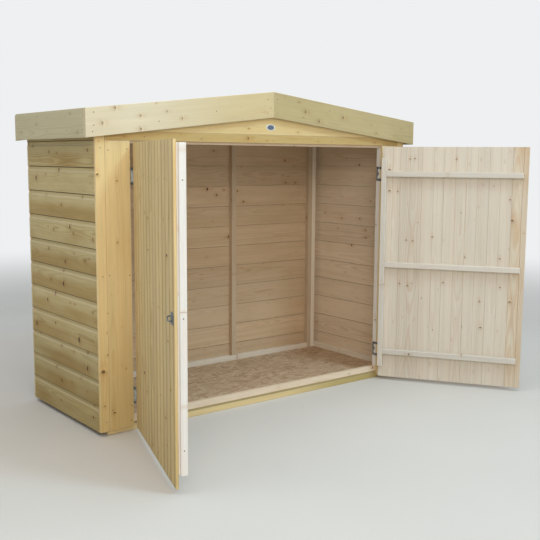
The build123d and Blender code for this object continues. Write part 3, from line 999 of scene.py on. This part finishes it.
felt_finish = mineral_felt("mineral_felt")
for node in ("right_roof_felt", "left_roof_felt", "ridge_felt"):
    timber(node, felt_finish, "store", "roof_felt", eased=0.0006, name="sheet")

# %% [markdown]
# ## Doors
# The doors' boards are drawn as if the door were shut, which keeps their sums simple, and then swing
# out round the hinge to where the doors stand at rest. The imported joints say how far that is.


# %% Where the doors stand
def swing(joint_name):
    """The turn that takes a shut door to where it stands."""
    joint = next(joint for joint in frame["joints"] if joint["name"] == joint_name)
    pin = Vector(joint["pos_m"])
    angle = -joint["range_deg"][0]
    print(joint_name, "stands open", angle, "degrees")
    turn = Matrix.Rotation(radians(angle), 4, Vector(joint["axis"]))
    return Matrix.Translation(pin) @ turn @ Matrix.Translation(-pin)


swings = {1: swing("right_door_hinge"), -1: swing("left_door_hinge")}
door_foot, door_head = 0.019, 1.288
door_face, door_back = -0.368, -0.357
hinge_edge, free_edge = 0.7653, 0.00275
first_joint, door_cover = 0.099, 0.117

# %% [markdown]
# A door is made of tongued boards with a V at each joint and another down the middle of each board,
# nailed to three ledges and a stile. Each board is drawn in plan and run up to the door's height.

# %% The boards of a door
groove_half, groove_depth = 0.004, 0.0032
joint_edge = [
    (0.0005, door_back), (0, door_back - 0.0016), (0, door_face + 0.0058), (0.0005, door_face + 0.0058),
    (0.0005, door_face + 0.0035), (0.0045, door_face),
]


def door_section(wide, narrow, hinge_side, free_side):
    """One board in plan, from its hinge side to its free side."""
    middle = wide - (wide - narrow) / 2
    if hinge_side:
        middle = narrow + door_cover / 2
    elif free_side:
        middle = wide - door_cover / 2
    start = [(wide - inset, y) for inset, y in joint_edge]
    end = [(narrow + inset, y) for inset, y in joint_edge[::-1]]
    if hinge_side:
        start = [(wide, door_back), (wide, door_face)]
    if free_side:
        end = [(narrow, door_face), (narrow, door_back)]
    groove = [(groove_half, 0), (0, groove_depth), (-groove_half, 0)]
    return start[1:] + [(middle + x, door_face + y) for x, y in groove] + end + start[:1]


def door_boards(side, knots):
    """The boards of the right door, side 1, or the left one, -1.

    The knots are listed from the hinge edge and the ground. A board's back has its own finish, and
    the hinge edge of each is golden.
    """
    body = "right_door" if side > 0 else "left_door"
    piece = Joinery(body + "_boards_tongued")
    places = listed(knots, lambda u, z: (side * (hinge_edge - u), door_face, z))
    joints = [hinge_edge]
    joint = hinge_edge - first_joint
    while joint > free_edge + 0.009:
        joints.append(joint)
        joint -= door_cover
    joints.append(free_edge)
    for number, (wide, narrow) in enumerate(zip(joints, joints[1:])):
        free_board = number == len(joints) - 2
        plan = door_section(wide, narrow, number == 0, free_board)
        solid = prism([(side * x, y, door_foot) for x, y in plan], (0, 0, door_head - door_foot))
        axes = Vector((side * narrow, door_face, door_foot)), Vector((0, 0, 1)), Vector((1, 0, 0))
        back = lambda normal: 1 + free_board if normal.y > 0.5 else 3 * int(normal.x * side < -0.9)
        # Painted shade with some dirt in the board's V-grooves, darker by a random amount on each board.
        stain = piece.dice.uniform(0.4, 1.3)
        groove_shade_and_dirt = lambda normal: -stain if 0.3 < abs(normal.y) < 0.9 else 0.0
        piece.add(
            solid, axes, places, 0.0005, ends=False, place=swings[side], look=back, paler=groove_shade_and_dirt
        )
    finishes = [woods[name] for name in ("treated_door", "door_inside", "door_edge", "golden_trim")]
    piece.made(finishes, body, "treated_wood", body + "_boards")


door_boards(-1, [
    (240, 1158, 3), (242, 1003, 3), (300, 985, 4), (298, 855, 4), (600, 998, 2), (682, 1010, 2),
    (647, 870, 6), (495, 650, 2), (655, 553, 4), (198, 320, 6), (248, 251, 4), (390, 303, 3),
    (515, 308, 3), (605, 245, 4), (695, 376, 3), (460, 60, 3), (348, 56, 3), (685, 193, 3),
])
door_boards(1, [
    (150, 1226, 3), (175, 1228, 3), (395, 1226, 3), (40, 1168, 4), (42, 1053, 4), (87, 1051, 3),
    (690, 910, 6), (675, 1018, 3), (140, 788, 3), (175, 785, 3), (280, 810, 3), (455, 708, 3),
    (635, 708, 3), (110, 548, 3), (153, 538, 3), (173, 555, 4), (345, 566, 3), (643, 555, 3),
    (695, 480, 5), (108, 393, 3), (185, 416, 2), (297, 303, 2), (540, 475, 3), (550, 333, 4),
    (143, 203, 4), (600, 640, 2),
])

# %% [markdown]
# Ledges and a stile hold the boards from behind, and the left door carries the batten that laps
# behind the right one.

# %% Ledges, stiles and the meeting batten
for body in ("left_door", "right_door"):
    for part in ("stile", "ledges"):
        timber(f"{body}_{part}", woods["ledge"], body, "pale_wood", eased=0.0022)
batten = "left_door_meeting_batten"
batten_knot = (swings[-1] @ Vector((0.0146, -0.339, 0.68)), 0.001)
timber(batten, woods["pale_batten"], "left_door", "pale_wood", [batten_knot], eased=0.002)

# %% [markdown]
# ## Zinc plate
# Hinges, latch and screws are steel with a thin zinc plate. It is a blue-tinged grey with cloudy patches
# and fine scratches, neither matt nor bright. A darker copy of it is painted shade on the jamb's hinges
# and the staple.


# %% Zinc
def zinc_plate(name, dark, bright, roughness):
    zinc = Finish(name)
    where = zinc.place()
    clouds = zinc.noise(where, (60.0, 60.0, 60.0), 3.0, 0.6)
    scratches = zinc.noise(where, (300.0, 300.0, 2400.0), 2.0, 0.6)
    colour = zinc.mix(zinc.ease(clouds, 0.3, 0.7), dark, bright)
    rough = roughness + clouds * 0.2 + scratches * 0.12
    return zinc.ended(zinc.shader(colour, rough, scratches * 0.00003 + clouds * 0.00006, metallic=0.5))


zinc = zinc_plate("zinc_plate", shade(136, 150, 156), shade(186, 198, 202), 0.38)
# A darker copy of the zinc, painted shade on the jamb's hinges and the staple.
shaded_zinc = zinc_plate("painted_shade_zinc_plate", shade(78, 82, 84), shade(140, 146, 148), 0.45)

for node, body, finish in (
    ("jamb_hinges", "store", shaded_zinc),
    ("left_door_hinges", "left_door", zinc),
    ("right_door_hinges", "right_door", zinc),
    ("left_door_staple", "left_door", shaded_zinc),
    ("right_door_hasp", "right_door", zinc),
):
    whole = bmesh.new()
    for solid in solids_of(node):
        rounded(solid, 0.0004, 40)
        part = bpy.data.meshes.new("part")
        solid.to_mesh(part)
        whole.from_mesh(part)
        bpy.data.meshes.remove(part)
        solid.free()
    mesh = bpy.data.meshes.new(node + "_plated")
    whole.to_mesh(mesh)
    whole.free()
    placed(mesh, [finish], body, "zinc", node, sharp=30)
    print(node, "plated")

# %% [markdown]
# ## Nails
# The cladding and trim are nailed, and each head is driven just below the surface, which leaves a small
# dent round it. The heads are gathered in one mesh for each body, because hundreds of separate objects
# would slow every later step. The dent's shade is painted as a dark ring a little wider than the head.

# %% Nail and screw heads
nail_rings = [
    (0.0026, 0.00004, 1, 1), (0.00184, 0.00004, 1, 0), (0.0016, 0.0002, 1, 0), (0.001, 0.0003, 1, 0),
]
screw_rings = [
    (0.0034, 0.00003, 1, 0), (0.0031, 0.0004, 1, 0), (0.0024, 0.0005, 1, 0), (0.0021, 0.0005, 0.3, 1),
    (0.0017, 0.0001, 0.3, 1),
]


class Fixings:
    """Heads that are gathered in one mesh; a head's rings are reach, height, waist and finish."""

    def __init__(self, name, rings, steps):
        self.name = name
        self.rings = rings
        self.steps = steps
        self.dice = random.Random(name)
        self.points, self.faces, self.looks = [], [], []

    def drive(self, place, normal, turn=Matrix()):
        """Adds a head; the waist pulls a ring in to a cross, and turn swings the head with a door."""
        place, normal, steps = Vector(place), Vector(normal), self.steps
        first = normal.orthogonal().normalized()
        second = normal.cross(first)
        start = len(self.points)
        for reach, height, waist, _ in self.rings:
            for step in range(steps):
                angle = step * 2 * pi / steps
                out = reach if step % 4 == 0 else reach * waist
                point = place + normal * height + (first * cos(angle) + second * sin(angle)) * out
                self.points.append((turn @ point)[:])
        for ring, (_, _, _, look) in enumerate(self.rings[:-1]):
            for step in range(steps):
                low, next_low = start + ring * steps + step, start + ring * steps + (step + 1) % steps
                self.faces.append((low, next_low, next_low + steps, low + steps))
                self.looks.append(look)
        last = start + (len(self.rings) - 1) * steps
        self.faces.append(tuple(range(last, last + steps)))
        self.looks.append(self.rings[-1][3])

    def made(self, materials, body):
        mesh = bpy.data.meshes.new(self.name)
        mesh.from_pydata(self.points, [], self.faces)
        mesh.polygons.foreach_set("material_index", self.looks)
        placed(mesh, materials, body, "zinc")
        print(self.name, len(self.faces), "faces")


# Painted shade: the dark ring in the dent round each nail head, and the recessed cross of each screw
# head.
recess_shade = Finish("painted_recess_shade")
recess_shade_grain = recess_shade.noise(recess_shade.place(), (700.0, 700.0, 700.0))
recess_shade_colour = recess_shade.mix(recess_shade_grain, shade(78, 58, 36), shade(128, 100, 66))
recess_shade.ended(recess_shade.shader(recess_shade_colour, 0.8 + recess_shade_grain * 0.1, recess_shade_grain * 0.0001, specular=0.3))
nail_steel = zinc_plate("nail_steel", shade(84, 82, 78), shade(132, 130, 124), 0.4)
screw_steel = zinc_plate("screw_steel", shade(140, 142, 142), shade(196, 198, 200), 0.3)

# %% [markdown]
# Side boards have two nails at each end and back boards one at each post. On the front the nails are
# listed one by one, and elsewhere a little chance keeps them from standing in a perfect line.

# %% Nails of the walls and the front
barge_face, fascia_face, back_face = -0.3891, 0.990, 0.3635
trim_nails = [
    (877, 1253), (787, 1258), (880, 715), (782, 708), (877, 112), (782, 118), (912, 712), (914, 1262),
    (908, 64), (785, 50), (892, 550), (915, 1372), (700, 1312), (400, 1308.5), (20, 1307), (560, 1372),
    (200, 1410),
]
barge_nails = [
    (-952, 1408), (-953, 1354), (-959, 1328), (-35, 1502), (-20, 1462), (-38, 1437), (-335, 1435),
    (-640, 1380), (22, 1505), (24, 1440), (360, 1462), (660, 1400), (955, 1402), (958, 1345),
]
side_nail_columns = (-0.3375, 0.334)
back_nail_columns = (-0.911, -0.2745, 0.2745, 0.911)
fascia_nail_columns = (-0.36, -0.2, 0.0, 0.2, 0.34)
fascia_nail_rows = (1.335, 1.395)

nails = Fixings("store_nails", nail_rings, 8)
for side in (-1, 1):
    for bottom, top in board_heights(side_top):
        for y in side_nail_columns:
            for share in (0.24, 0.66):
                jitter = nails.dice.uniform(-0.004, 0.004)
                height = bottom + share * (top - bottom) + jitter
                nails.drive((side * wall_outer, y + jitter, height), (side, 0, 0))
for bottom, top in back_heights:
    for x in back_nail_columns:
        height = bottom + 0.45 * (top - bottom) + nails.dice.uniform(-0.006, 0.006)
        if height < ridge_under - roof_slope * abs(x) - 0.02:
            nails.drive((x + nails.dice.uniform(-0.003, 0.003), back_face, height), (0, 1, 0))
for side in (-1, 1):
    for x, z in trim_nails:
        nails.drive((side * x / 1000, trim_face, z / 1000), (0, -1, 0))
for x, z in barge_nails:
    nails.drive((x / 1000, barge_face, z / 1000), (0, -1, 0))
for side in (-1, 1):
    for y in fascia_nail_columns:
        for z in fascia_nail_rows:
            nails.drive((side * fascia_face, y + nails.dice.uniform(-0.006, 0.006), z), (side, 0, 0))
nails.made([nail_steel, recess_shade.material], "store")

# %% [markdown]
# Each board of a door is nailed to each ledge with two nails, and the outermost to the stile too.

# %% Nails of the doors
ledge_heights = (0.165, 0.6497, 1.142)
stile_nail_rows = (0.25, 0.45, 0.8, 1.0)
batten_nail_rows = (0.168, 0.655, 1.146)
stile_nail_inset, batten_nail_inset = 0.014, 0.018
from_middle = 0.022
too_near_free_edge = 0.03

for side, body in ((-1, "left_door"), (1, "right_door")):
    nails = Fixings(body + "_nails", nail_rings, 8)
    middle = hinge_edge - first_joint / 2
    while middle > too_near_free_edge:
        for height in ledge_heights:
            for offset in (-from_middle, from_middle):
                x = middle + offset + nails.dice.uniform(-0.003, 0.003)
                z = height + nails.dice.uniform(-0.006, 0.006)
                nails.drive((side * x, door_face, z), (0, -1, 0), swings[side])
        middle -= door_cover
    for height in stile_nail_rows:
        place = (side * (hinge_edge - stile_nail_inset), door_face, height)
        nails.drive(place, (0, -1, 0), swings[side])
    if side < 0:
        for height in batten_nail_rows:
            place = (batten_nail_inset - free_edge, door_back + batten_nail_inset, height)
            nails.drive(place, (1, 0, 0), swings[side])
    nails.made([nail_steel, recess_shade.material], body)

# %% [markdown]
# Each hinge has three screws in the jamb and two in the door's edge, and the staple's plate has one
# near each corner. The hasp's screws are hidden under its strap, so that they can't be undone.

# %% Screws of the hinges and the staple
jamb_face, leaf_face, staple_face = 0.7693, 0.7673, -0.37
jamb_screws = ((-0.345, -0.032), (-0.345, 0.032), (-0.3355, 0.0))
leaf_screw_y, leaf_screw_apart = -0.353, 0.015
staple_screw_columns, staple_screw_apart = (-0.0198, -0.0497), 0.016
screws = {side: Fixings(name + "_screws", screw_rings, 16) for side, name in (
    (0, "store"), (-1, "left_door"), (1, "right_door"),
)}
for side in (-1, 1):
    for middle in (ledge_heights[0], ledge_heights[2]):
        for y, rise in jamb_screws:
            screws[0].drive((side * jamb_face, y, middle + rise), (-side, 0, 0))
        for rise in (-leaf_screw_apart, leaf_screw_apart):
            place = (side * leaf_face, leaf_screw_y, middle + rise)
            screws[side].drive(place, (side, 0, 0), swings[side])
for x in staple_screw_columns:
    for rise in (-staple_screw_apart, staple_screw_apart):
        screws[-1].drive((x, staple_face, ledge_heights[1] + rise), (0, -1, 0), swings[-1])
for side, body in ((0, "store"), (-1, "left_door"), (1, "right_door")):
    screws[side].made([screw_steel, recess_shade.material], body)

# %% [markdown]
# ## The blank badge
# A small oval plate is fixed on the gable under the ridge. It is left bare: a rolled zinc rim round
# a plain blue-grey field. Its rings are laid out as ellipses that shrink towards the middle.

# %% The oval plate
enamel = Finish("plain_enamel")
cloud = enamel.noise(enamel.place(), (240.0, 240.0, 240.0), 3.0)
enamel_colour = enamel.mix(cloud, shade(66, 78, 96), shade(108, 120, 136))
enamel.ended(enamel.shader(enamel_colour, 0.32 + cloud * 0.15, cloud * 0.00004))

plate_half_width, plate_half_height, plate_middle = 0.0275, 0.015, 1.3705
profile = [(1.0, 0.0), (1.0, 0.0010), (0.95, 0.0018), (0.84, 0.0018), (0.76, 0.0011), (0.4, 0.0014)]
steps = 56
plate = bmesh.new()
rings = []
for reach, height in profile:
    ring = []
    for step in range(steps):
        angle = step * 2 * pi / steps
        x, z = plate_half_width * reach * cos(angle), plate_half_height * reach * sin(angle)
        ring.append(plate.verts.new((x, trim_face - height, plate_middle + z)))
    rings.append(ring)
for number, (outer, inner) in enumerate(zip(rings, rings[1:])):
    for step in range(steps):
        after = (step + 1) % steps
        face = plate.faces.new((outer[step], outer[after], inner[after], inner[step]))
        face.material_index = int(number > 3)
plate.faces.new(rings[-1]).material_index = 1
bmesh.ops.recalc_face_normals(plate, faces=plate.faces[:])
plate_mesh = bpy.data.meshes.new("blank_oval_plate")
plate.to_mesh(plate_mesh)
rim_finish = zinc_plate("bright_rim", shade(206, 206, 198), shade(232, 232, 224), 0.4)
placed(plate_mesh, [rim_finish, enamel.material], "store", "zinc", sharp=50)
print("plate of", len(plate_mesh.polygons), "faces")
